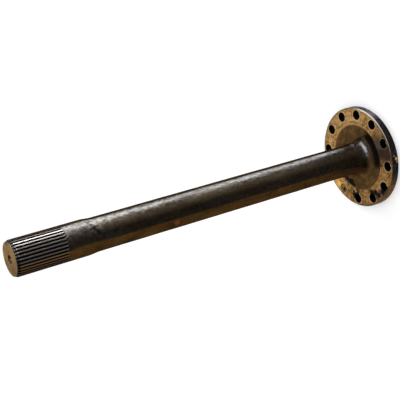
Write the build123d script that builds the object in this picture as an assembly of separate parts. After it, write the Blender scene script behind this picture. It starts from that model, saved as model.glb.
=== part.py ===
from build123d import *
from math import acos, atan2, cos, degrees, pi, radians, sin, sqrt, tan
import os

# Flanged axle half shaft: one steel forging, turned, drilled and splined.
# It stands on the outboard face of its flange, with the origin at the centre
# of that face and +Z along the shaft to the splined end. Millimetres, degrees.

# Flange with its ring of bolt holes
bolt_circle_diameter = 164.0
bolt_count = 12
bolt_hole_diameter = 17.5
bolt_hole_chamfer = 0.3
hole_to_rim_wall = 4.25
flange_thickness = 14.5
rim_chamfer = 1.6

# Forged boss between the machined bolting ring and the shaft
hole_to_boss_gap = 12.25
boss_height = 4.75
boss_wall_run = 9.5
boss_crown_rise = 1.5
boss_foot_radius = 1.5
boss_edge_radius = 4.0
boss_crown_flat = 1.5
shaft_root_radius = 20.0

# Shaft
face_to_end_length = 700.0
body_diameter = 56.5
swell_length = 15.0
swell_blend_radius = 30.0
plain_collar_length = 38.5

# Involute spline, 33 teeth of module 1.75 on a 60 mm reference diameter
spline_teeth = 33
spline_module = 1.75
pressure_angle = 30.0
profile_shift = 0.1625
tip_height_modules = 0.45
floor_depth_modules = 0.65
full_tooth_length = 82.0
groove_cutter_radius = 14.0
tooth_offset_angle = -0.7
end_bevel_length = 4.75
end_face_margin = 0.15

# Lathe centre in each end
centre_mouth_diameter = 14.0
centre_drill_diameter = 6.0
centre_drill_length = 8.0
centre_cone_angle = 60.0
drill_point_angle = 118.0

# How far a cutter stands out past the surface that it enters
overshoot = 0.6

# Sizes that follow from the ones above
bolt_circle_radius = bolt_circle_diameter / 2
bolt_hole_radius = bolt_hole_diameter / 2
flange_radius = bolt_circle_radius + bolt_hole_radius + hole_to_rim_wall
boss_foot_at = bolt_circle_radius - bolt_hole_radius - hole_to_boss_gap
boss_edge_at = boss_foot_at - boss_wall_run
body_radius = body_diameter / 2
overall_length = flange_thickness + face_to_end_length

pitch_radius = spline_module * spline_teeth / 2
base_radius = pitch_radius * cos(radians(pressure_angle))
tip_radius = pitch_radius + profile_shift + tip_height_modules * spline_module
groove_floor_radius = pitch_radius + profile_shift - floor_depth_modules * spline_module
groove_depth = tip_radius - groove_floor_radius
run_out_length = sqrt(groove_depth * (2 * groove_cutter_radius - groove_depth))
full_depth_from = overall_length - full_tooth_length
collar_from = full_depth_from - run_out_length - plain_collar_length
end_face_radius = groove_floor_radius - end_face_margin


def kept_radius(wanted, room, turn):
    """The wanted radius at a corner that turns by so many degrees, limited to the room beside it."""
    return min(wanted, room / tan(radians(turn / 2)))


def turned_blank():
    """The forging after turning: flange, boss, root radius, body, swell, collar and end bevel."""
    face = flange_thickness
    wall_length = sqrt(boss_wall_run**2 + boss_height**2)
    wall_slope = degrees(atan2(boss_height, boss_wall_run))
    foot_radius = kept_radius(boss_foot_radius, wall_length / 2, wall_slope)

    crown_run = boss_edge_at - body_radius
    crown_slope = degrees(atan2(boss_crown_rise, crown_run))
    edge_turn = wall_slope - crown_slope
    edge_radius = kept_radius(boss_edge_radius, min(wall_length, crown_run) / 2, edge_turn)
    edge_room = edge_radius * tan(radians(edge_turn / 2))
    root_room = crown_run - edge_room - boss_crown_flat
    root_radius = kept_radius(shaft_root_radius, root_room, 90 - crown_slope)

    swell_turn = degrees(atan2(abs(tip_radius - body_radius), swell_length))
    swell_radius = kept_radius(swell_blend_radius, swell_length / 2, swell_turn)

    corners = [
        (0, 0, 0),
        (flange_radius - rim_chamfer, 0, 0),
        (flange_radius, rim_chamfer, 0),
        (flange_radius, face - rim_chamfer, 0),
        (flange_radius - rim_chamfer, face, 0),
        (boss_foot_at, face, foot_radius),
        (boss_edge_at, face + boss_height, edge_radius),
        (body_radius, face + boss_height + boss_crown_rise, root_radius),
        (body_radius, collar_from - swell_length, swell_radius),
        (tip_radius, collar_from, swell_radius),
        (tip_radius, overall_length - end_bevel_length, 0),
        (end_face_radius, overall_length, 0),
        (0, overall_length, 0),
    ]
    points = [(x, z) for x, z, _ in corners]
    radii = [radius for _, _, radius in corners[1:-1]]
    outline = FilletPolyline(*points, radius=radii)
    section = make_face([outline, Line(outline @ 1, outline @ 0)])
    return revolve(Plane.XZ * section, Axis.Z)


def bolt_hole():
    """Cutter for one through hole on the Z axis, with a chamfer at both mouths."""
    mouth = bolt_hole_radius + bolt_hole_chamfer
    outline = Polyline(
        (0, -overshoot),
        (mouth + overshoot, -overshoot),
        (bolt_hole_radius, bolt_hole_chamfer),
        (bolt_hole_radius, flange_thickness - bolt_hole_chamfer),
        (mouth + overshoot, flange_thickness + overshoot),
        (0, flange_thickness + overshoot),
        close=True,
    )
    return revolve(Plane.XZ * make_face(outline), Axis.Z)


def lathe_centre():
    """Cutter for a centre hole that opens at Z 0 and goes down: cone, drilled pilot and drill point."""
    cone_slope = tan(radians(centre_cone_angle / 2))
    mouth = centre_mouth_diameter / 2
    pilot = centre_drill_diameter / 2
    cone_depth = (mouth - pilot) / cone_slope
    drill_depth = cone_depth + centre_drill_length
    point_depth = drill_depth + pilot / tan(radians(drill_point_angle / 2))
    outline = Polyline(
        (0, overshoot),
        (mouth + overshoot * cone_slope, overshoot),
        (pilot, -cone_depth),
        (pilot, -drill_depth),
        (0, -point_depth),
        close=True,
    )
    return revolve(Plane.XZ * make_face(outline), Axis.Z)


def involute(angle):
    """The involute function of an angle in radians."""
    return tan(angle) - angle


def groove_edge(radius):
    """The point of the groove's flank at a radius, for a groove that opens along +X."""
    tooth_thickness = pi * spline_module / 2 + 2 * profile_shift * tan(radians(pressure_angle))
    half_tooth = tooth_thickness / (2 * pitch_radius) + involute(radians(pressure_angle))
    half_tooth -= involute(acos(base_radius / radius))
    half_groove = pi / spline_teeth - half_tooth
    return (radius * cos(half_groove), radius * sin(half_groove))


def groove_section():
    """Section of one groove between two teeth, across the shaft: a narrow floor and involute flanks."""
    floor = groove_edge(groove_floor_radius)
    middle = groove_edge((groove_floor_radius + tip_radius) / 2)
    tip = groove_edge(tip_radius)
    flank = ThreePointArc(floor, middle, tip)
    mouth = flank @ 1 + (flank % 1) * overshoot
    flank += Line(flank @ 1, mouth)
    other_flank = mirror(flank, Plane.XZ)
    floor_line = Line(other_flank @ 0, flank @ 0)
    mouth_line = Line(flank @ 1, other_flank @ 1)
    return make_face([floor_line, *flank.edges(), mouth_line, *other_flank.edges()])


def spline_groove():
    """Cutter for one groove: a full-depth run to the end, and a run-out where the round cutter lifts."""
    section = Pos(0, 0, full_depth_from) * groove_section()
    full_depth = extrude(section, full_tooth_length + overshoot, dir=(0, 0, 1))
    cutter_axis = Axis((groove_floor_radius + groove_cutter_radius, 0, full_depth_from), (0, 1, 0))
    clear_of_blank = groove_cutter_radius - groove_depth - overshoot
    lift = degrees(acos(clear_of_blank / groove_cutter_radius))
    run_out = revolve(section, cutter_axis, -lift)
    return full_depth + run_out


def axle_shaft():
    """The finished shaft."""
    shaft = turned_blank()
    shaft -= [location * bolt_hole() for location in PolarLocations(bolt_circle_radius, bolt_count)]
    shaft -= Pos(0, 0, overall_length) * lathe_centre()
    shaft -= Rot(180, 0, 0) * lathe_centre()
    tooth_pitch = 360 / spline_teeth
    first_groove = tooth_offset_angle + tooth_pitch / 2
    groove = spline_groove()
    shaft -= [Rot(0, 0, first_groove + tooth_pitch * number) * groove for number in range(spline_teeth)]
    return shaft


os.makedirs("parts", exist_ok=True)
shaft = axle_shaft()
shaft.label = "axle_shaft"
export_step(shaft, "parts/axle_shaft.step")
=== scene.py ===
import math

import bmesh
import bpy
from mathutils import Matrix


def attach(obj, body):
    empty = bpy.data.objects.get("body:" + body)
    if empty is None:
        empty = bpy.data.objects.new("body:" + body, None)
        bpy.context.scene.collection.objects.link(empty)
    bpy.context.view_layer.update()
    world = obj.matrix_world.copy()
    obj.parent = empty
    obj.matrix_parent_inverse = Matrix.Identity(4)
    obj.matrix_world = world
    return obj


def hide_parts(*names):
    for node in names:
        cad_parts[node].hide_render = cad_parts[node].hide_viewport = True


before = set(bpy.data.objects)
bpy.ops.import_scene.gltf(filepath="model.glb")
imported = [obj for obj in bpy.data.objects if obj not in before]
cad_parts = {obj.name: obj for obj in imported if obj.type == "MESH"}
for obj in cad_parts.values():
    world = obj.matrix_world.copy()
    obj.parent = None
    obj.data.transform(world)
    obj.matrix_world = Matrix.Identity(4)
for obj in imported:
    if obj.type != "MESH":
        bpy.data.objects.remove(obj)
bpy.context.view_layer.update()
scene = bpy.context.scene
scene.view_settings.view_transform = "Standard"


# Camera.
# It stands on the splined end's side, above the flange, and looks down along the shaft.
# It is rolled until the standing shaft lies across the picture, spline at the left.
camera_data = bpy.data.cameras.new("camera")
camera_data.sensor_width = 36.0
camera_data.lens = 86.474
camera_data.clip_start = 0.05
camera = bpy.data.objects.new("camera", camera_data)
camera.location = (0.55292, -1.31294, 1.16892)
camera.rotation_euler = [math.radians(turn) for turn in (-26.4091, 56.7598, -98.0950)]
scene.collection.objects.link(camera)
scene.camera = camera


# Shaft forging.
# One piece of forged and turned steel: flange, boss, round body, swelled collar and splined end.
# The outline of half its section is drawn, swept over one tooth pitch and repeated round the axis.
MM = 0.001
LENGTH = 714.5 * MM
FLANGE_R = 94.92 * MM
FLANGE_T = 14.5 * MM
RIM_CHAMFER = 0.4 * MM
BOSS_FOOT_R = 61.0 * MM
BOSS_EDGE_R, BOSS_EDGE_Z = 51.5 * MM, 19.25 * MM
CROWN_Z = 20.75 * MM
BODY_R, BODY_END_Z = 28.25 * MM, 571.92 * MM
COLLAR_Z = 586.92 * MM
CENTRE_R, CENTRE_DEPTH = 7.0 * MM, 6.93 * MM
PILOT_R, PILOT_DEPTH, PILOT_TIP_DEPTH = 3.0 * MM, 14.93 * MM, 16.73 * MM
TEETH = 33
TOOTH_OFFSET = math.radians(-0.7)
TIP_R = 29.825 * MM
END_R = 27.75 * MM
BEVEL_FROM = LENGTH - 4.75 * MM
FULL_DEPTH_FROM = LENGTH - 82.0 * MM
CUTTER_R = 14.0 * MM
GROOVES_FROM = 628.4 * MM
BLANK_R = 29.0 * MM


def begin(name):
    """Selects nothing but the piece that was just added, and opens it for editing."""
    obj = bpy.context.active_object
    obj.name = name
    bpy.ops.object.select_all(action="DESELECT")
    obj.select_set(True)
    bpy.ops.object.mode_set(mode="EDIT")
    return obj


def pick(obj, wanted, kind="verts"):
    """Selects the vertices, edges or faces whose middle passes a test, and nothing else."""
    modes = [kind == mode for mode in ("verts", "edges", "faces")]
    bpy.context.tool_settings.mesh_select_mode = modes
    bpy.ops.mesh.select_all(action="DESELECT")
    shape = bmesh.from_edit_mesh(obj.data)
    for part in getattr(shape, kind):
        if kind == "verts":
            middle = part.co
        elif kind == "edges":
            middle = (part.verts[0].co + part.verts[1].co) / 2
        else:
            middle = part.calc_center_median()
        if wanted(middle):
            part.select_set(True)
    shape.select_flush_mode()
    bmesh.update_edit_mesh(obj.data)


def near(a, b, reach=0.02 * MM):
    """True where two lengths are the same within a fiftieth of a millimetre."""
    return abs(a - b) < reach


# The outline's corners, from the outboard lathe centre out over the flange and along to the spline.
# Each has its radius and height, the round on it, and how many cuts the run up to it gets.
# Six stations, close together, follow the round cutter as it leaves the steel at the run-outs.
outline = [
    (0.0, PILOT_TIP_DEPTH, 0, 0),
    (PILOT_R, PILOT_DEPTH, 0, 0),
    (PILOT_R, CENTRE_DEPTH, 0, 1),
    (CENTRE_R, 0.0, 0, 2),
    (FLANGE_R - RIM_CHAMFER, 0.0, 0, 11),
    (FLANGE_R, RIM_CHAMFER, 0, 0),
    (FLANGE_R, FLANGE_T - RIM_CHAMFER, 0, 5),
    (FLANGE_R - RIM_CHAMFER, FLANGE_T, 0, 0),
    (BOSS_FOOT_R, FLANGE_T, 1.5 * MM, 15),
    (BOSS_EDGE_R, BOSS_EDGE_Z, 4.0 * MM, 2),
    (BODY_R, CROWN_Z, 20.0 * MM, 1),
    (BODY_R, BODY_END_Z, 30.0 * MM, 42),
    (TIP_R, COLLAR_Z, 30.0 * MM, 1),
    (TIP_R, 625.4 * MM, 0, 5),
    (TIP_R, 626.2 * MM, 0, 0),
    (TIP_R, 627.2 * MM, 0, 0),
    (TIP_R, GROOVES_FROM, 0, 0),
    (TIP_R, 629.8 * MM, 0, 0),
    (TIP_R, 631.1 * MM, 0, 0),
    (TIP_R, FULL_DEPTH_FROM, 0, 0),
    (TIP_R, BEVEL_FROM, 0, 5),
    (END_R, LENGTH, 0, 0),
    (CENTRE_R, LENGTH, 0, 5),
    (PILOT_R, LENGTH - CENTRE_DEPTH, 0, 2),
    (PILOT_R, LENGTH - PILOT_DEPTH, 0, 1),
    (0.0, LENGTH - PILOT_TIP_DEPTH, 0, 0),
]

bpy.ops.object.select_all(action="DESELECT")
bpy.ops.mesh.primitive_plane_add(size=MM)
shaft = begin("axle_shaft_forging")
bpy.ops.mesh.select_all(action="SELECT")
bpy.ops.mesh.merge(type="CENTER")
bpy.ops.transform.translate(value=(outline[0][0], 0, outline[0][1]))
for (r0, z0, _, _), (r1, z1, _, _) in zip(outline, outline[1:]):
    step = (r1 - r0, 0, z1 - z0)
    bpy.ops.mesh.extrude_region_move(TRANSFORM_OT_translate={"value": step})

# Corners are rounded first, each back along its two runs by radius times the tangent of half the turn.
for (r0, z0, _, _), (r1, z1, round_r, _), (r2, z2, _, _) in zip(outline, outline[1:], outline[2:]):
    if round_r:
        turn_in = math.atan2(z1 - z0, r1 - r0)
        turn_out = math.atan2(z2 - z1, r2 - r1)
        turn = abs((turn_out - turn_in + math.pi) % (2 * math.pi) - math.pi)
        setback = round_r * math.tan(turn / 2)
        segments = max(4, round(math.degrees(turn) / 6))
        pick(shaft, lambda p, r=r1, z=z1: near(p.x, r) and near(p.z, z))
        bpy.ops.mesh.bevel(offset=setback, segments=segments, affect="VERTICES")

# Straight runs are then cut, so that the forged skin can wander a little between its corners.
for (r0, z0, _, _), (r1, z1, _, cuts) in zip(outline, outline[1:]):
    if cuts:
        length = math.hypot(r1 - r0, z1 - z0)

        def on_run(p):
            along = ((p.x - r0) * (r1 - r0) + (p.z - z0) * (z1 - z0)) / length
            off = abs((p.x - r0) * (z1 - z0) - (p.z - z0) * (r1 - r0)) / length
            return off < 0.001 * MM and 0 < along < length

        pick(shaft, on_run, "edges")
        bpy.ops.mesh.subdivide(number_cuts=cuts)

# The sweep over one tooth pitch starts in the middle of a land. It has narrow steps on the tooth's flanks,
# each with its turn in degrees and the radius there in mm, and wide ones on the land and the floor.
FLANK = ((1.774, 29.825), (2.530, 29.2), (3.278, 28.55), (3.970, 27.9))
HALF_PITCH = 180 / TEETH
columns = [0, 0.9] + [turn for turn, _ in FLANK] + [HALF_PITCH]
columns += [2 * HALF_PITCH - turn for turn in reversed(columns[:-1])]
bpy.ops.mesh.select_all(action="SELECT")
for turn, following in zip(columns, columns[1:]):
    bpy.ops.mesh.spin(steps=1, angle=math.radians(following - turn), center=(0, 0, 0), axis=(0, 0, 1))

# Teeth: each column of vertices goes in to its depth, less where the round cutter lifts at the run-out.
# All that is toothed lies outside the blank's radius at first, and the end face lies inside it.
shape = bmesh.from_edit_mesh(shaft.data)
sense = 1 if max(v.co.y for v in shape.verts) > -min(v.co.y for v in shape.verts) else -1
toothed = [v.co for v in shape.verts if v.co.z > COLLAR_Z and v.co.xy.length > BLANK_R]
ring_heights = sorted({round(place.z, 7) for place in toothed})
for turn, radius in FLANK[1:] + ((HALF_PITCH, FLANK[-1][1]),):
    for height in ring_heights:
        drop = max(0.0, FULL_DEPTH_FROM - height)
        if drop >= CUTTER_R:
            continue
        lift = CUTTER_R - math.sqrt(CUTTER_R**2 - drop**2)
        wanted_r = min(TIP_R, radius * MM + lift)
        if near(wanted_r, TIP_R, 0.001 * MM):
            continue

        def in_column(p):
            angle = math.degrees(math.atan2(sense * p.y, p.x))
            here = near(angle, turn, 0.05) or near(angle, 2 * HALF_PITCH - turn, 0.05)
            return here and near(p.z, height) and p.xy.length > BLANK_R

        pick(shaft, in_column)
        s = wanted_r / TIP_R
        bpy.ops.transform.resize(value=(s, s, 1), center_override=(0, 0, 0))
        if near(height, BEVEL_FROM):
            rise = (TIP_R - wanted_r) / (TIP_R - END_R) * (LENGTH - BEVEL_FROM)
            bpy.ops.transform.translate(value=(0, 0, rise))

bpy.ops.mesh.select_all(action="SELECT")
bpy.ops.transform.rotate(value=-TOOTH_OFFSET, orient_axis="Z", center_override=(0, 0, 0))
bpy.ops.mesh.spin(steps=TEETH, dupli=True, angle=2 * math.pi, center=(0, 0, 0), axis=(0, 0, 1))
bpy.ops.mesh.select_all(action="SELECT")
bpy.ops.mesh.remove_doubles(threshold=0.01 * MM)
bpy.ops.mesh.normals_make_consistent(inside=False)
bpy.ops.object.mode_set(mode="OBJECT")

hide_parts("axle_shaft")
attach(shaft, "root")


# Bolt holes.
# Twelve drilled holes for wheel hub bolts, equally spaced, each with a small chamfer at both mouths.
# One cutter is modelled, copied round the circle and taken out of the flange.
HOLES = 12
HOLE_R = 8.75 * MM
HOLE_CHAMFER = 0.3 * MM
BOLT_CIRCLE_R = 82.0 * MM
PAST = 0.6 * MM

bpy.ops.object.select_all(action="DESELECT")
bpy.ops.mesh.primitive_cylinder_add(vertices=44, radius=HOLE_R, depth=FLANGE_T - 2 * HOLE_CHAMFER)
cutter = begin("bolt_hole_cutter")
bpy.ops.mesh.select_all(action="SELECT")
bpy.ops.transform.translate(value=(BOLT_CIRCLE_R, 0, FLANGE_T / 2))
for height, out in ((FLANGE_T - HOLE_CHAMFER, 1), (HOLE_CHAMFER, -1)):
    pick(cutter, lambda p, z=height: near(p.z, z), "faces")
    rise = (0, 0, out * (HOLE_CHAMFER + PAST))
    bpy.ops.mesh.extrude_region_move(TRANSFORM_OT_translate={"value": rise})
    s = (HOLE_R + HOLE_CHAMFER + PAST) / HOLE_R
    bpy.ops.transform.resize(value=(s, s, 1), center_override=(BOLT_CIRCLE_R, 0, 0))
bpy.ops.mesh.select_all(action="SELECT")
bpy.ops.mesh.spin(steps=HOLES, dupli=True, angle=2 * math.pi, center=(0, 0, 0), axis=(0, 0, 1))
bpy.ops.mesh.select_all(action="SELECT")
bpy.ops.mesh.remove_doubles(threshold=0.01 * MM)
bpy.ops.mesh.normals_make_consistent(inside=False)
bpy.ops.object.mode_set(mode="OBJECT")

bpy.context.view_layer.objects.active = shaft
drilling = shaft.modifiers.new("bolt_holes", "BOOLEAN")
drilling.operation = "DIFFERENCE"
drilling.solver = "EXACT"
drilling.object = cutter
bpy.ops.object.modifier_apply(modifier=drilling.name)
bpy.data.objects.remove(cutter)


# Forged skin.
# The boss and the body keep a slight unevenness from the forging die; machined faces stay true.
# A weight on each vertex says how much of it shows there.
BOSS_SKIN_FROM = 15 * MM
BODY_SKIN_FROM, BODY_SKIN_TO = 20 * MM, 560 * MM
forged = shaft.vertex_groups.new(name="forged_skin")
for vertex in shaft.data.vertices:
    radius, height = vertex.co.xy.length, vertex.co.z
    on_boss = BOSS_SKIN_FROM < height < BODY_SKIN_FROM and 31 * MM < radius < BOSS_FOOT_R - 2 * MM
    on_body = BODY_SKIN_FROM <= height < BODY_SKIN_TO
    if on_boss or on_body:
        forged.add([vertex.index], 1.0, "REPLACE")
waves = bpy.data.textures.new("forging_waves", "CLOUDS")
waves.noise_scale = 35 * MM
waves.noise_depth = 2
skin = shaft.modifiers.new("forged_skin", "DISPLACE")
skin.texture = waves
skin.texture_coords = "LOCAL"
skin.vertex_group = forged.name
skin.strength = 0.35 * MM
skin.mid_level = 0.5
bpy.ops.object.modifier_apply(modifier=skin.name)
bpy.ops.object.select_all(action="DESELECT")
shaft.select_set(True)
bpy.ops.object.shade_smooth_by_angle(angle=math.radians(18))


# Oiled forged steel: the body, the collar and the boss.
# Carbon steel with its dark forging scale, wiped with oil: nearly black, pitted, with a long soft gleam.
# Oil has dried to a brown film over the boss. Brown bands along two sides are a painted reflection of a
# brown floor, and a dark fan down one side of the boss is painted shade.
def paint(code):
    """A colour written as sRGB hex, in the linear values that a shader takes."""
    parts = [int(code[i : i + 2], 16) / 255 for i in (1, 3, 5)]
    return [*(c / 12.92 if c <= 0.04045 else ((c + 0.055) / 1.055) ** 2.4 for c in parts), 1.0]


def add(tree, kind, inputs=None, out=0, **settings):
    """Adds one node with its settings, sets or links its inputs, and gives the output that is wanted.

    A Map Range's inputs are 0 the value, 1 and 2 where it comes from, 3 and 4 where it goes to. A Mix has
    0 its share, 2 and 3 two numbers, or 6 and 7 two colours. A Math node's are 0, 1 and 2 in order.
    """
    node = tree.nodes.new(kind)
    for name, value in settings.items():
        setattr(node, name, value)
    for socket, value in (inputs or {}).items():
        if isinstance(value, bpy.types.NodeSocket):
            tree.links.new(value, node.inputs[socket])
        else:
            node.inputs[socket].default_value = value
    return node.outputs[out]


def begin_material(name):
    """An empty material with its output, its shader and the place on the piece."""
    material = bpy.data.materials.new(name)
    material.use_nodes = True
    tree = material.node_tree
    tree.nodes.clear()
    output = tree.nodes.new("ShaderNodeOutputMaterial")
    shader = tree.nodes.new("ShaderNodeBsdfPrincipled")
    tree.links.new(shader.outputs[0], output.inputs[0])
    place = add(tree, "ShaderNodeTexCoord", out="Object")
    return material, tree, shader, place


def bearing(tree, place):
    """How far round the axis a point is, in degrees from the first bolt hole, between -180 and 180."""
    x, y = (add(tree, "ShaderNodeSeparateXYZ", {0: place}, out=axis) for axis in "XY")
    turn = add(tree, "ShaderNodeMath", {0: y, 1: x}, operation="ARCTAN2")
    return add(tree, "ShaderNodeMath", {0: turn}, operation="DEGREES")


def from_axis(tree, place):
    """How far a point is from the shaft's axis."""
    flat = add(tree, "ShaderNodeVectorMath", {0: place, 1: (1, 1, 0)}, operation="MULTIPLY")
    return add(tree, "ShaderNodeVectorMath", {0: flat}, operation="LENGTH", out="Value")


def band(tree, value, rise_from, rise_to, fall_from, fall_to):
    """One between two limits, with a soft edge at each, and nought outside them."""
    up = {0: value, 1: rise_from, 2: rise_to}
    down = {0: value, 1: fall_from, 2: fall_to, 3: 1.0, 4: 0.0}
    both = {
        0: add(tree, "ShaderNodeMapRange", up, interpolation_type="SMOOTHSTEP"),
        1: add(tree, "ShaderNodeMapRange", down, interpolation_type="SMOOTHSTEP"),
    }
    return add(tree, "ShaderNodeMath", both, operation="MULTIPLY")


def spot(tree, place, wander, where, size, soft=0.4, ragged=0.35):
    """One inside a ragged patch, nought outside, with its bearing in degrees, radius and height in mm."""
    turn, radius, height = math.radians(where[0]), where[1] * MM, where[2] * MM
    centre = (radius * math.cos(turn), radius * math.sin(turn), height)
    away = add(tree, "ShaderNodeVectorMath", {0: place, 1: centre}, operation="DISTANCE", out="Value")
    push = ragged * size * MM
    away = add(tree, "ShaderNodeMath", {0: wander, 1: 2 * push, 2: away}, operation="MULTIPLY_ADD")
    limits = {0: away, 1: size * MM * (1 - soft) + push, 2: size * MM + push, 3: 1.0, 4: 0.0}
    return add(tree, "ShaderNodeMapRange", limits, interpolation_type="SMOOTHSTEP")


def painted_brown_reflection(tree, place):
    """Where the painted reflection of a brown floor lies on the body: a wide band along one side, and a
    narrow one beside it.

    The edges of the bands wander in waves of about 36 mm.
    """
    wander = {"Vector": place, "Scale": 28.0, "Detail": 4.0, "Roughness": 0.6}
    wander = add(tree, "ShaderNodeTexNoise", wander)
    shift = add(tree, "ShaderNodeMath", {0: wander, 1: 7.0, 2: -3.5}, operation="MULTIPLY_ADD")
    turn = add(tree, "ShaderNodeMath", {0: bearing(tree, place), 1: shift}, operation="ADD")
    height = add(tree, "ShaderNodeSeparateXYZ", {0: place}, out="Z")
    rise = band(tree, height, 540 * MM, 590 * MM, 612 * MM, 628 * MM)
    lower = add(tree, "ShaderNodeMath", {0: rise, 1: -5.0, 2: turn}, operation="MULTIPLY_ADD")
    sink = add(tree, "ShaderNodeMapRange", {0: height, 1: 28 * MM, 2: 90 * MM, 3: 13.0, 4: 0.0})
    lower = add(tree, "ShaderNodeMath", {0: lower, 1: sink}, operation="ADD")
    lower = band(tree, lower, -176.0, -150.0, -99.5, -93.0)
    upper = band(tree, turn, -11.5, -6.0, 30.0, 60.0)
    return add(tree, "ShaderNodeMath", {0: lower, 1: upper}, operation="ADD")


oiled_steel, tree, shader, place = begin_material("oiled_forged_steel")
turn = bearing(tree, place)
radius = from_axis(tree, place)
long_way = add(tree, "ShaderNodeMapping", {"Vector": place, "Scale": (1.0, 1.0, 0.4)})
stains = {"Vector": long_way, "Scale": 1 / (26 * MM), "Detail": 6.0, "Roughness": 0.62}
stains = add(tree, "ShaderNodeTexNoise", stains)
scale_pits = {"Vector": place, "Scale": 1 / (5 * MM), "Detail": 4.0, "Roughness": 0.6}
scale_pits = add(tree, "ShaderNodeTexNoise", scale_pits)
patch = add(tree, "ShaderNodeMapRange", {0: stains, 1: 0.38, 2: 0.66})
dark = {0: patch, 6: paint("#0F0A05"), 7: paint("#1B130A")}
colour = add(tree, "ShaderNodeMix", dark, out=2, data_type="RGBA")

# Coats lie over that first colour in this order, each with its share and its own colour.
# The first is a thin haze of dried oil that shows between the two painted brown bands.
coats = []
haze ={0: band(tree, turn, -72.0, -48.0, -44.0, -26.0), 1: stains}
haze = add(tree, "ShaderNodeMath", haze, operation="MULTIPLY")
height = add(tree, "ShaderNodeSeparateXYZ", {0: place}, out="Z")
thinner = add(tree, "ShaderNodeMapRange", {0: height, 1: 60 * MM, 2: 300 * MM, 3: 0.5, 4: 1.0})
haze = add(tree, "ShaderNodeMath", {0: haze, 1: thinner}, operation="MULTIPLY")
off_root = add(tree, "ShaderNodeMapRange", {0: radius, 1: 28.6 * MM, 2: 30.5 * MM, 3: 1.0, 4: 0.0})
haze = add(tree, "ShaderNodeMath", {0: haze, 1: off_root}, operation="MULTIPLY")
coats.append((haze, paint("#483A24")))

# The painted brown reflection on the body: ochre brown below, darker and greener above.
patchy = add(tree, "ShaderNodeMath", {0: scale_pits, 1: 0.5, 2: 0.72}, operation="MULTIPLY_ADD")
painted_reflection_and_film = painted_brown_reflection(tree, place)
brown_tone = {0: painted_reflection_and_film, 1: patchy}
brown_tone = add(tree, "ShaderNodeMath", brown_tone, operation="MULTIPLY", use_clamp=True)
above = add(tree, "ShaderNodeMapRange", {0: turn, 1: -60.0, 2: -40.0})
tint = {0: above, 6: paint("#3D2B14"), 7: paint("#31281A")}
tint = add(tree, "ShaderNodeMix", tint, out=2, data_type="RGBA")
streaks = {"Vector": long_way, "Scale": 1 / (14 * MM), "Detail": 5.0, "Roughness": 0.65}
streaks = add(tree, "ShaderNodeTexNoise", streaks)
for low, high, code in ((0.5, 0.66, "#55381C"), (0.48, 0.36, "#241A0E")):
    streak = add(tree, "ShaderNodeMapRange", {0: streaks, 1: low, 2: high, 3: 0.0, 4: 0.6})
    streak = add(tree, "ShaderNodeMath", {0: streak, 1: above}, operation="SUBTRACT", use_clamp=True)
    tint = add(tree, "ShaderNodeMix", {0: streak, 6: tint, 7: paint(code)}, out=2, data_type="RGBA")
near_root = add(tree, "ShaderNodeMapRange", {0: height, 1: 45 * MM, 2: 130 * MM, 3: 0.6, 4: 0.0})
tint = add(tree, "ShaderNodeMix", {0: near_root, 6: tint, 7: paint("#20150D")}, out=2, data_type="RGBA")
coats.append((brown_tone, tint))

# A black oil smear across the swell, then four pale scuffs and one spot of rust along the body.
wiped = 0.0
SMEAR = ((-22, 28.6, 584, 6), (-33, 28.5, 581, 6), (-44, 28.4, 578, 7), (-63, 28.3, 573, 8))
for turn_deg, radius_mm, height_mm, size in SMEAR:
    smear = spot(tree, place, scale_pits, (turn_deg, radius_mm, height_mm), size, 0.8)
    coats.append((smear, paint("#0A0705")))
    wiped = add(tree, "ShaderNodeMath", {0: wiped, 1: smear}, operation="MAXIMUM")
for turn_deg, height_mm, size in ((-34, 556, 5), (-9, 513, 4), (-37, 489, 5), (-36, 448, 4)):
    scuff = spot(tree, place, scale_pits, (turn_deg, 28.3, height_mm), size, 0.9, 0.6)
    coats.append((scuff, paint("#4A4338")))
rust = spot(tree, place, scale_pits, (-112, 28.3, 431), 8, 0.8, 0.7)
coats.append((rust, paint("#64381A")))

# The film on the boss. On one side it reaches in to the body, and on the other the oiled root shows.
film_edge = {0: turn, 1: 8.0, 2: -26.0, 3: 30.0 * MM, 4: 49.0 * MM}
film_edge = add(tree, "ShaderNodeMapRange", film_edge, interpolation_type="SMOOTHSTEP")
retreat = {0: turn, 1: -40.0, 2: -90.0, 3: 0.0, 4: 11.0 * MM}
retreat = add(tree, "ShaderNodeMapRange", retreat, interpolation_type="SMOOTHSTEP")
film_edge = add(tree, "ShaderNodeMath", {0: film_edge, 1: retreat}, operation="SUBTRACT")
retreat = {0: turn, 1: -112.0, 2: -150.0, 3: 0.0, 4: 8.0 * MM}
retreat = add(tree, "ShaderNodeMapRange", retreat, interpolation_type="SMOOTHSTEP")
film_edge = add(tree, "ShaderNodeMath", {0: film_edge, 1: retreat}, operation="SUBTRACT")
cloudy = {"Vector": place, "Scale": 1 / (14 * MM), "Detail": 5.0, "Roughness": 0.6}
cloudy = add(tree, "ShaderNodeTexNoise", cloudy)
inside = add(tree, "ShaderNodeMath", {0: radius, 1: film_edge}, operation="SUBTRACT")
inside = {0: cloudy, 1: 6.0 * MM, 2: inside}
inside = add(tree, "ShaderNodeMath", inside, operation="MULTIPLY_ADD")
soft_edge = {0: turn, 1: -80.0, 2: -30.0, 3: 11.0 * MM, 4: 5.0 * MM}
soft_edge = add(tree, "ShaderNodeMapRange", soft_edge)
on_boss = {0: inside, 1: 0.0, 2: soft_edge}
on_boss = add(tree, "ShaderNodeMapRange", on_boss, interpolation_type="SMOOTHSTEP")
off_body = {0: radius, 1: 29.5 * MM, 2: 31.5 * MM}
off_body = add(tree, "ShaderNodeMapRange", off_body)
on_boss = add(tree, "ShaderNodeMath", {0: on_boss, 1: off_body}, operation="MULTIPLY")
cloud = add(tree, "ShaderNodeMapRange", {0: cloudy, 1: 0.36, 2: 0.64})
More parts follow.
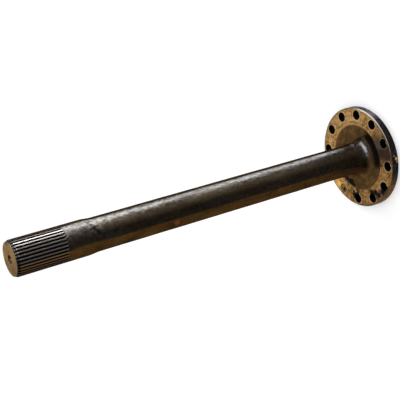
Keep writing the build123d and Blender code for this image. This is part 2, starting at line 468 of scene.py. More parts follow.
brown = {0: cloud, 6: paint("#40301C"), 7: paint("#614829")}
brown = add(tree, "ShaderNodeMix", brown, out=2, data_type="RGBA")
coats.append((on_boss, brown))
# Painted shade: a dark fan down one side of the boss, faint on the crown and near black on its wall.
shift = add(tree, "ShaderNodeMath", {0: cloudy, 1: 12.0, 2: turn}, operation="MULTIPLY_ADD")
painted_dark_fan = band(tree, shift, -102.0, -84.0, -30.0, -12.0)
painted_thin_fan = band(tree, shift, -94.0, -74.0, -30.0, -12.0)
painted_thin_fan = add(tree, "ShaderNodeMath", {0: painted_thin_fan, 1: on_boss}, operation="MULTIPLY")
painted_thin_fan = add(tree, "ShaderNodeMath", {0: painted_thin_fan, 1: 0.75}, operation="MULTIPLY")
coats.append((painted_thin_fan, paint("#2B2018")))
on_wall = {0: radius, 1: 47.0 * MM, 2: 55.0 * MM, 3: 0.0, 4: 0.97}
on_wall = add(tree, "ShaderNodeMapRange", on_wall, interpolation_type="SMOOTHSTEP")
painted_dark_fan = add(tree, "ShaderNodeMath", {0: painted_dark_fan, 1: on_wall}, operation="MULTIPLY")
coats.append((painted_dark_fan, paint("#0D0A06")))

# Near-black patches lie at the foot of the boss.
BOSS_FOOT_DARKS = (
    ((166, 55.5, 17.5), 13, "#0F0D0B"),
    ((158, 56.5, 17), 12, "#151412"),
    ((151, 56, 17.5), 13, "#1E1E1C"),
    ((173, 52, 19), 5, "#2A2014"),
)
for where, size, code in BOSS_FOOT_DARKS:
    dark_patch = spot(tree, place, cloudy, where, size)
    coats.append((dark_patch, paint(code)))
for share, coat in coats:
    colour = add(tree, "ShaderNodeMix", {0: share, 6: colour, 7: coat}, out=2, data_type="RGBA")
tree.links.new(colour, shader.inputs["Base Color"])

# Oil lies thicker in some places than others. The root is glossiest, and the dried film and the painted
# brown reflection have no gloss.
uneven = add(tree, "ShaderNodeMapRange", {0: patch, 1: 0.0, 2: 1.0, 3: 0.16, 4: 0.3})
rough = {0: scale_pits, 1: 0.3, 2: uneven}
rough = add(tree, "ShaderNodeMath", rough, operation="MULTIPLY_ADD")
on_root = {0: radius, 1: 29.0 * MM, 2: 33.0 * MM, 3: 0.0, 4: -0.11}
on_root = add(tree, "ShaderNodeMapRange", on_root, interpolation_type="SMOOTHSTEP")
rough = add(tree, "ShaderNodeMath", {0: rough, 1: on_root}, operation="ADD")
on_collar = add(tree, "ShaderNodeMapRange", {0: height, 1: 540 * MM, 2: 590 * MM, 3: 0.0, 4: 0.1})
rough = add(tree, "ShaderNodeMath", {0: rough, 1: on_collar}, operation="ADD")
rough = add(tree, "ShaderNodeMix", {0: on_boss, 2: rough, 3: 0.75})
tree.links.new(rough, shader.inputs["Roughness"])
painted_reflection_and_film = add(tree, "ShaderNodeMath", {0: on_boss, 1: painted_reflection_and_film}, operation="MAXIMUM")
gloss = {0: scale_pits, 1: 0.38, 2: 0.6, 3: 0.025, 4: 0.12}
gloss = add(tree, "ShaderNodeMapRange", gloss)
collar = {0: height, 1: 500 * MM, 2: 575 * MM, 3: 1.0, 4: 1.6}
collar = add(tree, "ShaderNodeMapRange", collar)
gloss = add(tree, "ShaderNodeMath", {0: gloss, 1: collar}, operation="MULTIPLY")
calm = add(tree, "ShaderNodeMapRange", {0: turn, 1: -66.0, 2: -42.0, 3: 0.5, 4: 1.0})
gloss = add(tree, "ShaderNodeMath", {0: gloss, 1: calm}, operation="MULTIPLY")
thin_oil = {0: band(tree, height, 370 * MM, 430 * MM, 505 * MM, 550 * MM), 1: -0.17, 2: 1.0}
thin_oil = add(tree, "ShaderNodeMath", thin_oil, operation="MULTIPLY_ADD")
gloss = add(tree, "ShaderNodeMath", {0: gloss, 1: thin_oil}, operation="MULTIPLY")
dulled = add(tree, "ShaderNodeMath", {0: wiped, 1: -0.75, 2: 1.0}, operation="MULTIPLY_ADD")
gloss = add(tree, "ShaderNodeMath", {0: gloss, 1: dulled}, operation="MULTIPLY")
oily = band(tree, turn, -84.0, -66.0, -30.0, -22.0)
oily = add(tree, "ShaderNodeMix", {0: oily, 2: 0.004, 3: 0.085})
gloss = add(tree, "ShaderNodeMix", {0: off_body, 2: gloss, 3: oily})
gloss = add(tree, "ShaderNodeMix", {0: painted_reflection_and_film, 2: gloss, 3: 0.0})
tree.links.new(gloss, shader.inputs["Specular IOR Level"])

# Shallow dents from the forging die, with fine pits of scale on them.
dents = {"Vector": place, "Scale": 1 / (12 * MM), "Detail": 2.0, "Roughness": 0.5}
dents = add(tree, "ShaderNodeTexNoise", dents)
dents = {"Height": dents, "Strength": 0.7, "Distance": 1.4 * MM}
dents = add(tree, "ShaderNodeBump", dents)
pits = {"Height": scale_pits, "Strength": 0.5, "Distance": 0.6 * MM, "Normal": dents}
pits = add(tree, "ShaderNodeBump", pits)
tree.links.new(pits, shader.inputs["Normal"])


# Turned steel with a tan film: the flange's bolting ring.
# Steel faced in the lathe, under a thin tan coat of rust preventer that has crazed, worn and stained.
# It looks like dull brass. The band next to the boss is cleaner. A painted dark reflection fans over one
# side, a painted sheen lies on the other, and a painted highlight runs along part of the outer corner.
turned_steel, tree, shader, place = begin_material("turned_steel_tan_film")
turn = bearing(tree, place)
radius = from_axis(tree, place)
blotches = {"Vector": place, "Scale": 1 / (10 * MM), "Detail": 6.0, "Roughness": 0.65}
blotches = add(tree, "ShaderNodeTexNoise", blotches)
specks = {"Vector": place, "Scale": 1 / (2.4 * MM), "Detail": 4.0, "Roughness": 0.7}
specks = add(tree, "ShaderNodeTexNoise", specks)
worn = add(tree, "ShaderNodeMapRange", {0: blotches, 1: 0.35, 2: 0.68})
tan = {0: worn, 6: paint("#866236"), 7: paint("#B28B4F")}
colour = add(tree, "ShaderNodeMix", tan, out=2, data_type="RGBA")
coats = []
# Painted sheen: the ring is paler on the side away from the painted dark fan.
painted_sheen = {0: band(tree, turn, -45.0, 5.0, 100.0, 140.0), 1: 0.5}
painted_sheen = add(tree, "ShaderNodeMath", painted_sheen, operation="MULTIPLY")
coats.append((painted_sheen, paint("#CBA465")))

# Ochre and orange grease, and a little white crust, have dried near the crusted hole.
# Each smear has its bearing in degrees, its radius and its own size in mm, and its colour.
OCHRE_SMEARS = (
    (141, 84, 20, "#DDA650"),
    (142, 82, 11, "#F2BC62"),
    (137, 90, 8, "#F0CF8C"),
    (142, 71, 7, "#D9B69A"),
    (160, 86, 14, "#AC7A40"),
    (167, 85, 10, "#95602F"),
    (160, 75, 12, "#8C7640"),
    (149, 68.5, 4, "#C9C4A8"),
    (170, 68, 6, "#5A4420"),
)
for turn_deg, radius_mm, size, code in OCHRE_SMEARS:
    smear = spot(tree, place, specks, (turn_deg, radius_mm, FLANGE_T / MM), size, 0.7)
    coats.append((smear, paint(code)))

# Dark specks, brown and pinkish patches and paler grains in the coat.
speck = add(tree, "ShaderNodeMapRange", {0: specks, 1: 0.54, 2: 0.72, 3: 0.0, 4: 0.5})
coats.append((speck, paint("#5E4426")))
grain ={"Vector": place, "Scale": 1 / (7 * MM), "Detail": 5.0, "Roughness": 0.7}
grain = add(tree, "ShaderNodeTexNoise", grain)
dark = add(tree, "ShaderNodeMapRange", {0: grain, 1: 0.44, 2: 0.33, 3: 0.0, 4: 0.9})
coats.append((dark, paint("#5F4520")))
pink = {"Vector": place, "Scale": 1 / (9 * MM), "Detail": 2.0}
pink = add(tree, "ShaderNodeTexNoise", pink, out="Color")
pink = add(tree, "ShaderNodeSeparateXYZ", {0: pink}, out="Y")
pink = add(tree, "ShaderNodeMapRange", {0: pink, 1: 0.5, 2: 0.64, 3: 0.0, 4: 0.45})
coats.append((pink, paint("#B98868")))
light = add(tree, "ShaderNodeMapRange", {0: grain, 1: 0.53, 2: 0.66, 3: 0.0, 4: 0.8})
coats.append((light, paint("#D3AC70")))
ochre = spot(tree, place, grain, (141.5, 82, FLANGE_T / MM), 21, 0.6)
ochre = add(tree, "ShaderNodeMath", {0: ochre, 1: 0.6}, operation="MULTIPLY")
coats.append((ochre, paint("#F2B858")))

# Crazing: curly lines, wide and fine, where a warped noise passes its middle value.
curl = {"Vector": place, "Scale": 1 / (14 * MM), "Detail": 1.0, "Distortion": 1.6}
curl = add(tree, "ShaderNodeTexNoise", curl)
line = add(tree, "ShaderNodeMath", {0: curl, 1: 0.5, 2: 0.085}, operation="COMPARE")
line = add(tree, "ShaderNodeMath", {0: line, 1: worn}, operation="MULTIPLY")
coats.append((line, paint("#452C10")))
fine_curl = {"Vector": place, "Scale": 1 / (9 * MM), "Detail": 1.5, "Distortion": 2.2}
fine_curl = add(tree, "ShaderNodeTexNoise", fine_curl)
fine_line = add(tree, "ShaderNodeMath", {0: fine_curl, 1: 0.47, 2: 0.022}, operation="COMPARE")
fine_line = add(tree, "ShaderNodeMath", {0: fine_line, 1: 0.5}, operation="MULTIPLY")
coats.append((fine_line, paint("#5A3C1A")))

# A cleaner band next to the boss ends in a thin line. The ring is darker at the foot of the boss, and near
# black there on one side, which is painted shade.
clean = {0: radius, 1: 65.6 * MM, 2: 67.2 * MM, 3: 0.5, 4: 0.0}
clean = add(tree, "ShaderNodeMapRange", clean, interpolation_type="SMOOTHSTEP")
clean = {0: clean, 1: band(tree, turn, -45.0, -10.0, 80.0, 120.0)}
clean = add(tree, "ShaderNodeMath", clean, operation="MULTIPLY")
coats.append((clean, paint("#A98453")))
edge_line = band(tree, radius, 67.2 * MM, 68.0 * MM, 68.6 * MM, 69.6 * MM)
edge_line = add(tree, "ShaderNodeMath", {0: edge_line, 1: worn}, operation="MULTIPLY")
coats.append((edge_line, paint("#75552D")))
foot = add(tree, "ShaderNodeMapRange", {0: radius, 1: 61.0 * MM, 2: 64.0 * MM, 3: 1.0, 4: 0.0})
coats.append((foot, paint("#4E381C")))
painted_foot_shade = band(tree, turn, -112.0, -96.0, -30.0, -8.0)
painted_foot_shade = add(tree, "ShaderNodeMath", {0: painted_foot_shade, 1: foot}, operation="MULTIPLY")
coats.append((painted_foot_shade, paint("#120D08")))

# The painted dark reflection: a fan where the turned face mirrors something dark.
shift = add(tree, "ShaderNodeMath", {0: blotches, 1: 22.0, 2: turn}, operation="MULTIPLY_ADD")
painted_dark_fan = band(tree, shift, -88.0, -66.0, -48.0, -22.0)
painted_dark_fan = add(tree, "ShaderNodeMath", {0: painted_dark_fan, 1: 0.97}, operation="MULTIPLY")
coats.append((painted_dark_fan, paint("#2A211B")))

# Grease lines the mouth of each hole, and bolt heads have rubbed a thin pale ring round it.
past_hole = {0: turn, 1: 180 / HOLES, 2: -180 / HOLES}
past_hole = add(tree, "ShaderNodeMath", past_hole, operation="WRAP")
past_hole = add(tree, "ShaderNodeMath", {0: past_hole, 1: math.pi / 180}, operation="MULTIPLY")
along = add(tree, "ShaderNodeMath", {0: past_hole}, operation="COSINE")
along = {0: along, 1: radius, 2: -BOLT_CIRCLE_R}
along = add(tree, "ShaderNodeMath", along, operation="MULTIPLY_ADD")
across = add(tree, "ShaderNodeMath", {0: past_hole}, operation="SINE")
across = add(tree, "ShaderNodeMath", {0: across, 1: radius}, operation="MULTIPLY")
from_hole = add(tree, "ShaderNodeCombineXYZ", {0: along, 1: across})
from_hole = add(tree, "ShaderNodeVectorMath", {0: from_hole}, operation="LENGTH", out="Value")
from_mouth = add(tree, "ShaderNodeMath", {0: from_hole, 1: HOLE_R}, operation="SUBTRACT")
pale_ring = band(tree, from_mouth, 0.4 * MM, 0.8 * MM, 1.4 * MM, 2.6 * MM)
weight = add(tree, "ShaderNodeMath", {0: painted_dark_fan, 1: -0.34, 2: 0.45}, operation="MULTIPLY_ADD")
pale_ring = add(tree, "ShaderNodeMath", {0: pale_ring, 1: weight}, operation="MULTIPLY")
coats.append((pale_ring, paint("#E2BE92")))
dark_patch = add(tree, "ShaderNodeMapRange", {0: from_mouth, 1: 0.3 * MM, 2: 0.9 * MM, 3: 0.9, 4: 0.0})
coats.append((dark_patch, paint("#130E0A")))

# Smears of dried grease and rust round three of the holes, with one painted glint on the grease.
DARK_SMEARS = (
    (-57, 68, 13, "#453B33"),
    (-141, 86, 8, "#54422A"),
    (174, 77.5, 10, "#120D09"),
    (178, 71.5, 9, "#1F1812"),
    (172, 72.5, 5, "#2A2016"),
    # A painted glint on the grease by the hole at 180 degrees.
    (175, 69.5, 2.6, "#A39A96"),
    (168, 86.5, 2.4, "#4A140A"),
    (-150, 66, 6, "#614830"),
    (-147, 73.5, 9, "#20120A"),
    (-140, 76, 8, "#24150C"),
    (-131, 85.5, 11, "#4F3C3F"),
    (-133, 88.5, 4, "#6E4A3A"),
    (-119, 91.5, 8, "#3A2A1A"),
    (-123, 89.5, 14, "#080606"),
    (-127, 87, 8, "#0E0909"),
    (180, 65, 7, "#4A3620"),
    (-137, 84, 7, "#15140F"),
)
for turn_deg, radius_mm, size, code in DARK_SMEARS:
    smear = spot(tree, place, specks, (turn_deg, radius_mm, FLANGE_T / MM), size, 0.5)
    coats.append((smear, paint(code)))

# The ring is browner towards the rim, and darkest just inside the corner.
worn_rim = add(tree, "ShaderNodeMapRange", {0: radius, 1: 88 * MM, 2: 93 * MM})
browner = {0: band(tree, shift, -186.0, -164.0, -112.0, -90.0), 1: 0.5, 2: 0.28}
browner = add(tree, "ShaderNodeMath", browner, operation="MULTIPLY_ADD")
browner = add(tree, "ShaderNodeMath", {0: worn_rim, 1: browner}, operation="MULTIPLY")
coats.append((browner, paint("#5A432A")))
edge = add(tree, "ShaderNodeMapRange", {0: radius, 1: 92.2 * MM, 2: 93.8 * MM, 3: 0.0, 4: 0.5})
coats.append((edge, paint("#5A4020")))


def painted_highlight_side(tree, turn):
    """How much painted highlight the flange's corner gets, by bearing: on one side only."""
    start = add(tree, "ShaderNodeMapRange", {0: turn, 1: -76.0, 2: -22.0})
    end = add(tree, "ShaderNodeMapRange", {0: turn, 1: -9.0, 2: 7.0, 3: 1.0, 4: 0.0})
    return add(tree, "ShaderNodeMath", {0: start, 1: end}, operation="MULTIPLY")


# Painted highlight along the outer corner of the ring, on one side.
painted_highlight = painted_highlight_side(tree, turn)
painted_corner_highlight = add(tree, "ShaderNodeMapRange", {0: radius, 1: 92.9 * MM, 2: 93.7 * MM})
painted_highlight = add(tree, "ShaderNodeMath", {0: painted_highlight, 1: painted_corner_highlight}, operation="MULTIPLY")
highlight_colour = {0: blotches, 6: paint("#D2C2B2"), 7: paint("#FFF8EE")}
highlight_colour = add(tree, "ShaderNodeMix", highlight_colour, out=2, data_type="RGBA")
coats.append((painted_highlight, highlight_colour))
for share, coat in coats:
    colour = add(tree, "ShaderNodeMix", {0: share, 6: colour, 7: coat}, out=2, data_type="RGBA")
tree.links.new(colour, shader.inputs["Base Color"])
spread = add(tree, "ShaderNodeMapRange", {0: blotches, 1: 0.3, 2: 0.7, 3: 0.5, 4: 0.7})
tree.links.new(spread, shader.inputs["Roughness"])
shader.inputs["Specular IOR Level"].default_value = 0.008
crazed = add(tree, "ShaderNodeBump", {"Height": specks, "Strength": 0.3, "Distance": 0.15 * MM})
tree.links.new(crazed, shader.inputs["Normal"])


# End face of the spline, and the flange's outboard face.
# The same facing cut and film, less worn, so the colour is a deeper brass brown with soft clouds.
end_steel, tree, shader, place = begin_material("turned_steel_brown_film")
clouds = {"Vector": place, "Scale": 1 / (15 * MM), "Detail": 5.0, "Roughness": 0.55}
clouds = add(tree, "ShaderNodeTexNoise", clouds)
cloud = add(tree, "ShaderNodeMapRange", {0: clouds, 1: 0.35, 2: 0.65})
shade = {0: cloud, 6: paint("#6B5230"), 7: paint("#8B6B3E")}
colour = add(tree, "ShaderNodeMix", shade, out=2, data_type="RGBA")
coats = []
for turn_deg, radius_mm, size in ((-150, 22, 20), (20, 24, 7), (-5, 12, 6)):
    stain = spot(tree, place, clouds, (turn_deg, radius_mm, LENGTH / MM), size, 0.9)
    stain = add(tree, "ShaderNodeMath", {0: stain, 1: 0.8}, operation="MULTIPLY")
    coats.append((stain, paint("#57452A")))
mouth = {0: from_axis(tree, place), 1: CENTRE_R + 0.1 * MM, 2: CENTRE_R + 1.8 * MM, 3: 0.8, 4: 0.0}
mouth = add(tree, "ShaderNodeMapRange", mouth)
coats.append((mouth, paint("#4A3018")))
for share, coat in coats:
    colour = add(tree, "ShaderNodeMix", {0: share, 6: colour, 7: coat}, out=2, data_type="RGBA")
tree.links.new(colour, shader.inputs["Base Color"])
spread = add(tree, "ShaderNodeMapRange", {0: clouds, 1: 0.3, 2: 0.7, 3: 0.5, 4: 0.7})
tree.links.new(spread, shader.inputs["Roughness"])
shader.inputs["Specular IOR Level"].default_value = 0.02


# Spline teeth.
# Steel with hobbed involute teeth: lands rubbed bare and bright, grooves near black with dried grease and
# painted shade.
splined_steel, tree, shader, place = begin_material("hobbed_spline_steel")
radius = from_axis(tree, place)
land = add(tree, "ShaderNodeMapRange", {0: radius, 1: 29.1 * MM, 2: 29.65 * MM})
colour = {0: land, 6: paint("#040302"), 7: paint("#342D28")}
colour = add(tree, "ShaderNodeMix", colour, out=2, data_type="RGBA")
coats = []
# The brown on the lower teeth is the same painted reflection of a brown floor as on the body.
brown_tone = add(tree, "ShaderNodeMath", {0: painted_brown_reflection(tree, place), 1: land}, operation="MULTIPLY")
above = band(tree, bearing(tree, place), -142.0, -96.0, -90.0, -60.0)
tint = {0: above, 6: paint("#241C12"), 7: paint("#604A32")}
tint = add(tree, "ShaderNodeMix", tint, out=2, data_type="RGBA")
coats.append((brown_tone, tint))

# Next to the bevel, the ends of the lands carry a painted highlight on one side.
height = add(tree, "ShaderNodeSeparateXYZ", {0: place}, out="Z")
painted_corner_highlight = {0: height, 1: BEVEL_FROM - 1.6 * MM, 2: BEVEL_FROM - 1.0 * MM}
painted_corner_highlight = add(tree, "ShaderNodeMapRange", painted_corner_highlight)
painted_corner_highlight = add(tree, "ShaderNodeMath", {0: painted_corner_highlight, 1: land}, operation="MULTIPLY")
painted_corner_highlight = {0: painted_corner_highlight, 1: band(tree, bearing(tree, place), -72.0, -60.0, -22.0, -14.0)}
painted_corner_highlight = add(tree, "ShaderNodeMath", painted_corner_highlight, operation="MULTIPLY")
coats.append((painted_corner_highlight, paint("#A8A09E")))
for share, coat in coats:
    colour = add(tree, "ShaderNodeMix", {0: share, 6: colour, 7: coat}, out=2, data_type="RGBA")
tree.links.new(colour, shader.inputs["Base Color"])
grit = add(tree, "ShaderNodeTexNoise", {"Vector": place, "Scale": 1 / (3 * MM), "Detail": 4.0})
polish = add(tree, "ShaderNodeMapRange", {0: grit, 1: 0.3, 2: 0.7, 3: 0.32, 4: 0.44})
rough = add(tree, "ShaderNodeMapRange", {0: land, 1: 0.0, 2: 1.0, 3: 0.85, 4: polish})
tree.links.new(rough, shader.inputs["Roughness"])
gloss = add(tree, "ShaderNodeMapRange", {0: bearing(tree, place), 1: -26.0, 2: -12.0, 3: 0.35, 4: 0.07})
gloss = add(tree, "ShaderNodeMix", {0: painted_brown_reflection(tree, place), 2: gloss, 3: 0.01})
gloss = add(tree, "ShaderNodeMath", {0: gloss, 1: land}, operation="MULTIPLY")
tree.links.new(gloss, shader.inputs["Specular IOR Level"])


# Bevel at the splined end.
# Turned before the teeth were cut and never painted: bare blue-grey steel with bright corners.
end_bevel, tree, shader, place = begin_material("bare_blue_grey_steel")
flecks = add(tree, "ShaderNodeTexNoise", {"Vector": place, "Scale": 1 / (5 * MM), "Detail": 3.0})
flecks = add(tree, "ShaderNodeMapRange", {0: flecks, 1: 0.42, 2: 0.6})
shade = {0: flecks, 6: paint("#272529"), 7: paint("#606066")}
shade = add(tree, "ShaderNodeMix", shade, out=2, data_type="RGBA")
scraped = band(tree, bearing(tree, place), -82.0, -60.0, -28.0, -14.0)
shade = add(tree, "ShaderNodeMix", {0: scraped, 6: paint("#1E1A15"), 7: shade}, out=2, data_type="RGBA")
tree.links.new(shade, shader.inputs["Base Color"])
shader.inputs["Roughness"].default_value = 0.4
shader.inputs["Specular IOR Level"].default_value = 0.04


# Flange rim.
# The turned edge of the flange under old black paint, chipped to bare steel in a few places.
# Lower down, the paint has gone and brown film shows.
painted_rim, tree, shader, place = begin_material("black_painted_rim")
turn = bearing(tree, place)
grit = {"Vector": place, "Scale": 1 / (4 * MM), "Detail": 5.0, "Roughness": 0.6}
grit = add(tree, "ShaderNodeTexNoise", grit)
shade = add(tree, "ShaderNodeMapRange", {0: grit, 1: 0.42, 2: 0.64})
colour = {0: shade, 6: paint("#050505"), 7: paint("#29282B")}
colour = add(tree, "ShaderNodeMix", colour, out=2, data_type="RGBA")

# On one side, the paint has greyed; a paler patch and the bright inboard corner there are painted
# highlight.
coats = []
greyed = {0: band(tree, turn, -45.0, -14.0, 40.0, 90.0), 1: shade}
greyed = add(tree, "ShaderNodeMath", greyed, operation="MULTIPLY")
coats.append((greyed, paint("#66646A")))
painted_highlight = {0: band(tree, turn, -29.0, -21.0, -18.0, -12.0), 1: 0.45}
painted_highlight = add(tree, "ShaderNodeMath", painted_highlight, operation="MULTIPLY")
coats.append((painted_highlight, paint("#8E8C92")))
height = add(tree, "ShaderNodeSeparateXYZ", {0: place}, out="Z")
painted_corner_highlight = add(tree, "ShaderNodeMapRange", {0: height, 1: 11.6 * MM, 2: 13.4 * MM, 3: 0.0, 4: 0.8})
painted_corner_highlight = {0: painted_corner_highlight, 1: band(tree, turn, -42.0, -24.0, -14.0, 4.0)}
painted_corner_highlight = add(tree, "ShaderNodeMath", painted_corner_highlight, operation="MULTIPLY")
coats.append((painted_corner_highlight, paint("#E4DCD0")))

# Film where the paint has gone, and chips, each with its bearing in degrees and its height and size in mm.
shift = add(tree, "ShaderNodeMath", {0: grit, 1: 14.0, 2: turn}, operation="MULTIPLY_ADD")
bare = band(tree, shift, -178.0, -160.0, -108.0, -90.0)
brown_tone = add(tree, "ShaderNodeMapRange", {0: grit, 1: 0.4, 2: 0.6})
brown_tone = {0: brown_tone, 6: paint("#3A2810"), 7: paint("#6E5028")}
brown_tone = add(tree, "ShaderNodeMix", brown_tone, out=2, data_type="RGBA")
coats.append((bare, brown_tone))
CHIPS = (
    (-11, 2.7, 2.2, "#9C9A96"),
    (-80.5, 4.2, 3.4, "#B08B5E"),
    (-77, 9, 1.0, "#C4BFB6"),
    (-84, 3, 2.4, "#8A6B48"),
)
for turn_deg, height_mm, size, code in CHIPS:
    chip = spot(tree, place, grit, (turn_deg, FLANGE_R / MM, height_mm), size, 0.3)
    coats.append((chip, paint(code)))
for share, coat in coats:
    colour = add(tree, "ShaderNodeMix", {0: share, 6: colour, 7: coat}, out=2, data_type="RGBA")
tree.links.new(colour, shader.inputs["Base Color"])
rough = add(tree, "ShaderNodeMapRange", {0: grit, 1: 0.3, 2: 0.7, 3: 0.38, 4: 0.6})
tree.links.new(rough, shader.inputs["Roughness"])
shader.inputs["Specular IOR Level"].default_value = 0.035
brushed = add(tree, "ShaderNodeBump", {"Height": grit, "Strength": 0.4, "Distance": 0.2 * MM})
tree.links.new(brushed, shader.inputs["Normal"])


# Chamfer with a painted highlight.
# The chamfer round the flange's inboard edge: a near-white painted highlight on one side, tan film on the
# other.
highlit_chamfer, tree, shader, place = begin_material("chamfer_painted_highlight")
grit = add(tree, "ShaderNodeTexNoise", {"Vector": place, "Scale": 1 / (6 * MM), "Detail": 4.0})
shade = {0: grit, 6: paint("#D2C2B2"), 7: paint("#FFF8EE")}
colour = add(tree, "ShaderNodeMix", shade, out=2, data_type="RGBA")
colour = {0: painted_highlight_side(tree, bearing(tree, place)), 6: paint("#4A3720"), 7: colour}
colour = add(tree, "ShaderNodeMix", colour, out=2, data_type="RGBA")
tree.links.new(colour, shader.inputs["Base Color"])
shader.inputs["Roughness"].default_value = 0.6
shader.inputs["Specular IOR Level"].default_value = 0.015


# Hole walls and lathe centres.
# Drilled steel with old grease in it, dark and dull.
greasy_bore, tree, shader, place = begin_material("greasy_drilled_steel")
grit = add(tree, "ShaderNodeTexNoise", {"Vector": place, "Scale": 1 / (2.5 * MM), "Detail": 4.0})
shade = {0: grit, 6: paint("#030303"), 7: paint("#0E0B09")}
colour = add(tree, "ShaderNodeMix", shade, out=2, data_type="RGBA")
tree.links.new(colour, shader.inputs["Base Color"])
shader.inputs["Roughness"].default_value = 0.6
shader.inputs["Specular IOR Level"].default_value = 0.01


# Cone of the lathe centre.
# Worn by the lathe's centre, then rusted: a red-brown cone, with a painted glint on its lower side.
rusty_cone, tree, shader, place = begin_material("rusty_centre_cone")
grit = add(tree, "ShaderNodeTexNoise", {"Vector": place, "Scale": 1 / (2.5 * MM), "Detail": 4.0})
shade = {0: grit, 6: paint("#170D07"), 7: paint("#35210F")}
colour = add(tree, "ShaderNodeMix", shade, out=2, data_type="RGBA")
coats = []
rust = spot(tree, place, grit, (60, 4.6, LENGTH / MM - 4.2), 2.6, 0.6)
coats.append((rust, paint("#7A3A2A")))
painted_glint = spot(tree, place, grit, (122, 5.3, LENGTH / MM - 2.9), 2.0, 0.6)
coats.append((painted_glint, paint("#A8857A")))
for share, coat in coats:
    colour = add(tree, "ShaderNodeMix", {0: share, 6: colour, 7: coat}, out=2, data_type="RGBA")
tree.links.new(colour, shader.inputs["Base Color"])
shader.inputs["Roughness"].default_value = 0.6
shader.inputs["Specular IOR Level"].default_value = 0.02


# Finishes put on by place.
# Each face takes the finish of the spot that it is on.
RING_FROM_R = BOSS_FOOT_R - 0.4 * MM
OUTBOARD_Z = 2 * MM
finishes = [oiled_steel, turned_steel, end_steel, splined_steel, end_bevel]
finishes += [painted_rim, highlit_chamfer, greasy_bore, rusty_cone]
shaft.data.materials.clear()
for material in finishes:
    shaft.data.materials.append(material)
for face in shaft.data.polygons:
    radius, height = face.center.xy.length, face.center.z
    turn = math.degrees(math.atan2(face.center.y, face.center.x))
    nearest = 2 * math.pi / HOLES * round(turn * HOLES / 360)
    x, y = BOLT_CIRCLE_R * math.cos(nearest), BOLT_CIRCLE_R * math.sin(nearest)
    from_hole = math.hypot(face.center.x - x, face.center.y - y)
    if HOLE_CHAMFER < height < FLANGE_T - HOLE_CHAMFER and from_hole < HOLE_R + 0.1 * MM:
        finish = greasy_bore
    elif radius < PILOT_R - 0.01 * MM:
        finish = greasy_bore
    elif radius < CENTRE_R - 0.01 * MM:
        finish = rusty_cone
    elif radius > FLANGE_R - RIM_CHAMFER and height > FLANGE_T - RIM_CHAMFER:
        finish = highlit_chamfer
    elif radius > FLANGE_R - RIM_CHAMFER:
        finish = painted_rim
    elif radius > RING_FROM_R and height > OUTBOARD_Z:
        finish = turned_steel
    elif height < OUTBOARD_Z or height > LENGTH - 0.01 * MM:
        finish = end_steel
    elif height > BEVEL_FROM:
        finish = end_bevel
    elif height > GROOVES_FROM:
        finish = splined_steel
    else:
        finish = oiled_steel
    face.material_index = finishes.index(finish)


# Dirt crust in the mouth of one bolt hole.
# Grease and road dirt have dried in a lumpy bead round the mouth, and leave a small opening near the rim.
# It sticks to the wall of the hole and is a little proud of the face: olive brown, with ochre lumps.
CRUST_TURN = math.radians(150)
CRUST_Z = 13.2 * MM
CRUST_R = 6.5 * MM
BEAD_R = 2.2 * MM
LEAN = (-1.9 * MM, -0.9 * MM, -0.6 * MM)
INTO_HOLE = 2.5 * MM
hole_x, hole_y = BOLT_CIRCLE_R * math.cos(CRUST_TURN), BOLT_CIRCLE_R * math.sin(CRUST_TURN)
bpy.ops.object.select_all(action="DESELECT")
bpy.ops.mesh.primitive_torus_add(
    major_radius=CRUST_R, minor_radius=BEAD_R, major_segments=48, minor_segments=14
)
crust = begin("dirt_crust")
pick(crust, lambda p: p.xy.length < CRUST_R - 0.3 * MM)
bpy.ops.transform.translate(value=LEAN)
pick(crust, lambda p: p.z < -0.5 * MM)
bpy.ops.mesh.extrude_region_move(TRANSFORM_OT_translate={"value": (0, 0, -INTO_HOLE)})
bpy.ops.mesh.select_all(action="SELECT")
bpy.ops.transform.translate(value=(hole_x, hole_y, CRUST_Z))
bpy.ops.mesh.normals_make_consistent(inside=False)
bpy.ops.object.mode_set(mode="OBJECT")
lumps = bpy.data.textures.new("dirt_lumps", "CLOUDS")
lumps.noise_scale = 3.5 * MM
heaped = crust.modifiers.new("lumps", "DISPLACE")
heaped.texture = lumps
heaped.texture_coords = "LOCAL"
heaped.strength = 1.1 * MM
heaped.mid_level = 0.6
bpy.ops.object.modifier_apply(modifier=heaped.name)
bpy.ops.object.shade_smooth()

caked_dirt, tree, shader, place = begin_material("caked_grease_and_dirt")
lumpy = {"Vector": place, "Scale": 1 / (5 * MM), "Detail": 4.0, "Roughness": 0.6}
lumpy = add(tree, "ShaderNodeTexNoise", lumpy)
ochre = add(tree, "ShaderNodeMapRange", {0: lumpy, 1: 0.42, 2: 0.62})
shade = {0: ochre, 6: paint("#5C4A22"), 7: paint("#9A7B42")}
shade = add(tree, "ShaderNodeMix", shade, out=2, data_type="RGBA")
tree.links.new(shade, shader.inputs["Base Color"])
shader.inputs["Roughness"].default_value = 0.8
shader.inputs["Specular IOR Level"].default_value = 0.05
crust.data.materials.append(caked_dirt)
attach(crust, "root")


# Floor and light.
# A plain pale floor and an even pale sky. One soft key light does the lighting. The strips stand close to
# the shaft and one lamp hangs over its root, and these only show as the gleam in the oil.
floor_material, tree, shader, place = begin_material("matt_pale_floor")
shader.inputs["Base Color"].default_value = (0.95, 0.95, 0.95, 1)
shader.inputs["Emission Color"].default_value = (1, 1, 1, 1)

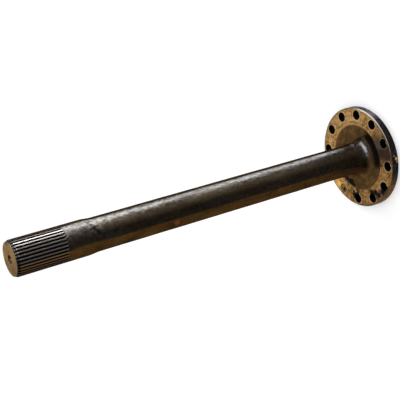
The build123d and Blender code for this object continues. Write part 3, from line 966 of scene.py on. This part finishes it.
# To the eye, and in what the metal mirrors, the floor is lifted a little towards white past the flange.
clear ={0: from_axis(tree, place), 1: 90 * MM, 2: 96 * MM, 3: 0.0, 4: 0.12}
clear = add(tree, "ShaderNodeMapRange", clear)
rays = add(tree, "ShaderNodeLightPath", out="Is Camera Ray")
for kind in ("Is Glossy Ray", "Is Transmission Ray"):
    also = add(tree, "ShaderNodeLightPath", out=kind)
    rays = add(tree, "ShaderNodeMath", {0: rays, 1: also}, operation="MAXIMUM")
lift = add(tree, "ShaderNodeMath", {0: rays, 1: clear}, operation="MULTIPLY")
tree.links.new(lift, shader.inputs["Emission Strength"])
shader.inputs["Roughness"].default_value = 0.9
shader.inputs["Specular IOR Level"].default_value = 0.0
bpy.ops.object.select_all(action="DESELECT")
bpy.ops.mesh.primitive_plane_add(size=60)
floor = bpy.context.active_object
floor.name = "floor"
floor.data.materials.append(floor_material)

world = bpy.data.worlds.new("pale_sky")
world.use_nodes = True
world.node_tree.nodes["Background"].inputs[0].default_value = (1, 1, 1, 1)
world.node_tree.nodes["Background"].inputs[1].default_value = 1.0
scene.world = world


def softbox(name, bearing_deg, distance, height, tip_deg, width, tall, strength):
    """A flat lamp that faces the shaft, tipped up by so many degrees. Strength is its own brightness."""
    data = bpy.data.lights.new(name, "AREA")
    data.shape = "RECTANGLE"
    data.size = width
    data.size_y = tall
    data.energy = strength * math.pi * width * tall
    lamp = bpy.data.objects.new(name, data)
    turn = math.radians(bearing_deg)
    lamp.location = (distance * math.cos(turn), distance * math.sin(turn), height)
    lamp.rotation_euler = (math.radians(90 + tip_deg), 0, turn + math.radians(90))
    lamp.visible_camera = False
    scene.collection.objects.link(lamp)
    return lamp


softbox("key_light", 32.0, 1.4, 1.1, -37.0, 0.5, 0.5, 4.0)

# Each strip has its bearing in degrees, its distance, height, width and length in metres, and its strength.
for name, bearing_deg, distance, height, width, tall, strength in (
    ("low_gleam_strip", 21.0, 0.08, 0.042, 0.024, 0.05, 18.0),
    ("gleam_strip", 18.0, 0.132, 0.40, 0.04, 0.74, 45.0),
    ("middle_gleam_strip", 10.0, 0.132, 0.48, 0.04, 0.58, 20.0),
    ("upper_gleam_strip", 3.0, 0.132, 0.58, 0.04, 0.38, 30.0),
):
    strip = softbox(name, bearing_deg, distance, height, 0.0, width, tall, strength)
    strip.visible_diffuse = False
top_light = softbox("root_gleam_light", 4.0, 0.37, 1.2, -73.0, 0.34, 0.34, 170.0)
top_light.visible_diffuse = False
